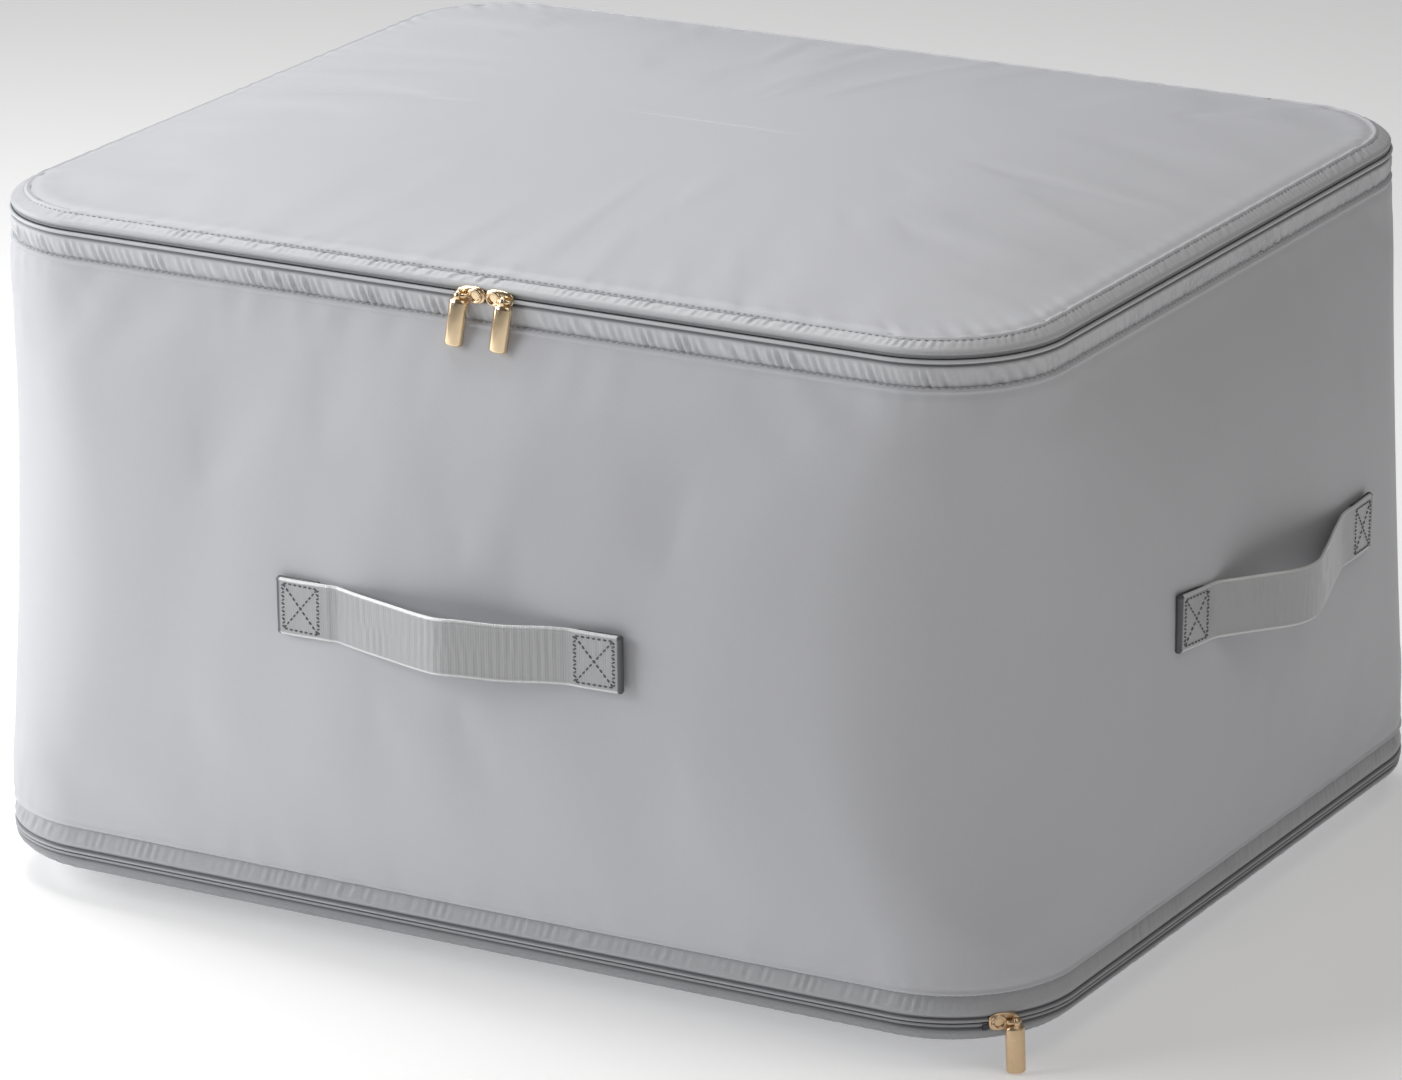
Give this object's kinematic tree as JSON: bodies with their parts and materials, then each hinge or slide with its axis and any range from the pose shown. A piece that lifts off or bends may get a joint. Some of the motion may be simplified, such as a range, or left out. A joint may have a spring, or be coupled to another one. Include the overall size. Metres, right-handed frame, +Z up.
{
  "type": "soft zipped storage box",
  "caption": "Soft fabric storage box with a zipped hinged lid, a zip-off base, webbing carry handles and gold zip pulls; stands stuffed and square.",
  "frame": {"origin": "on the floor under the centre of the base", "axes": "+X along the long side to the right, -Y the front with the middle handle, +Z up"},
  "size_m": [0.7196, 0.5757, 0.3859],
  "materials": {
    "shell_fabric": "matte coated weave",
    "tape_fabric": "satin knit tape",
    "coil_nylon": "dark nylon",
    "webbing": "lustrous ribbed webbing",
    "lining_fabric": "plain lining cloth",
    "foam_sheet": "foam interlining",
    "binding_tape": "bias binding",
    "gold_metal": "polished pale gold",
    "stop_metal": "dark crimped stop"
  },
  "bodies": {
    "base": {"base_panel": "shell_fabric", "base_foam": "foam_sheet", "base_lining": "lining_fabric", "foot_tape_base": "tape_fabric", "foot_coil_base": "coil_nylon", "foot_binding_base": "binding_tape", "foot_zip_stop": "stop_metal"},
    "wall": {"wall_panel": "shell_fabric", "wall_foam": "foam_sheet", "wall_lining": "lining_fabric", "top_tape_wall": "tape_fabric", "top_coil_wall": "coil_nylon", "top_binding_wall": "binding_tape", "foot_tape_wall": "tape_fabric", "foot_coil_wall": "coil_nylon", "foot_binding_wall": "binding_tape", "top_zip_stops": "stop_metal", "front_handle_ends": "webbing", "left_handle_ends": "webbing", "right_handle_ends": "webbing"},
    "lid": {"lid_panel": "shell_fabric", "lid_foam": "foam_sheet", "lid_lining": "lining_fabric", "top_tape_lid": "tape_fabric", "top_coil_lid": "coil_nylon", "top_binding_lid": "binding_tape", "lid_hinge_strip": "shell_fabric"},
    "top_left_slider": {"top_left_slider": "gold_metal"},
    "top_left_pull": {"top_left_pull": "gold_metal"},
    "top_right_slider": {"top_right_slider": "gold_metal"},
    "top_right_pull": {"top_right_pull": "gold_metal"},
    "foot_slider": {"foot_slider": "gold_metal"},
    "foot_pull": {"foot_pull": "gold_metal"},
    "front_handle": {"front_handle": "webbing"},
    "left_handle": {"left_handle": "webbing"},
    "right_handle": {"right_handle": "webbing"}
  },
  "joints": [
    {"name": "wall_lift", "type": "slide", "parent": "base", "child": "wall", "axis": [0, 0, 1], "range_m": [0, 0.06]},
    {"name": "lid_hinge", "type": "hinge", "parent": "wall", "child": "lid", "pos_m": [0, 0.2463, 0.361], "axis": [-1, 0, 0], "range_deg": [0, 150]},
    {"name": "top_left_slide", "type": "slide", "parent": "wall", "child": "top_left_slider", "axis": [-1, 0, 0], "range_m": [0, 0.22]},
    {"name": "top_right_slide", "type": "slide", "parent": "wall", "child": "top_right_slider", "axis": [1, 0, 0], "range_m": [0, 0.2]},
    {"name": "top_left_pull_turn", "type": "hinge", "parent": "top_left_slider", "child": "top_left_pull", "pos_m": [0.0022, -0.2506, 0.361], "axis": [-1, 0, 0], "range_deg": [0, 150]},
    {"name": "top_right_pull_turn", "type": "hinge", "parent": "top_right_slider", "child": "top_right_pull", "pos_m": [0.0278, -0.2506, 0.361], "axis": [-1, 0, 0], "range_deg": [0, 150]},
    {"name": "foot_slide", "type": "hinge", "parent": "base", "child": "foot_slider", "pos_m": [0.241, -0.1855, 0.026], "axis": [0, 0, 1], "range_deg": [0, 38]},
    {"name": "foot_pull_turn", "type": "hinge", "parent": "foot_slider", "child": "foot_pull", "pos_m": [0.29919, -0.22915, 0.026], "axis": [-0.6494, -0.7604, 0], "range_deg": [0, 150]},
    {"name": "front_handle_lift", "type": "hinge", "parent": "wall", "child": "front_handle", "pos_m": [0.008, -0.27713, 0.1945], "axis": [-1, 0, 0], "range_deg": [-22, 22], "stiffness_Nm_per_rad": 0.01},
    {"name": "left_handle_lift", "type": "hinge", "parent": "wall", "child": "left_handle", "pos_m": [-0.32892, 0, 0.1945], "axis": [0, 0.9987, -0.0506], "range_deg": [-35, 35], "stiffness_Nm_per_rad": 0.01},
    {"name": "right_handle_lift", "type": "hinge", "parent": "wall", "child": "right_handle", "pos_m": [0.32892, 0, 0.1945], "axis": [0, -0.9987, 0.0506], "range_deg": [-35, 35], "stiffness_Nm_per_rad": 0.01}
  ]
}
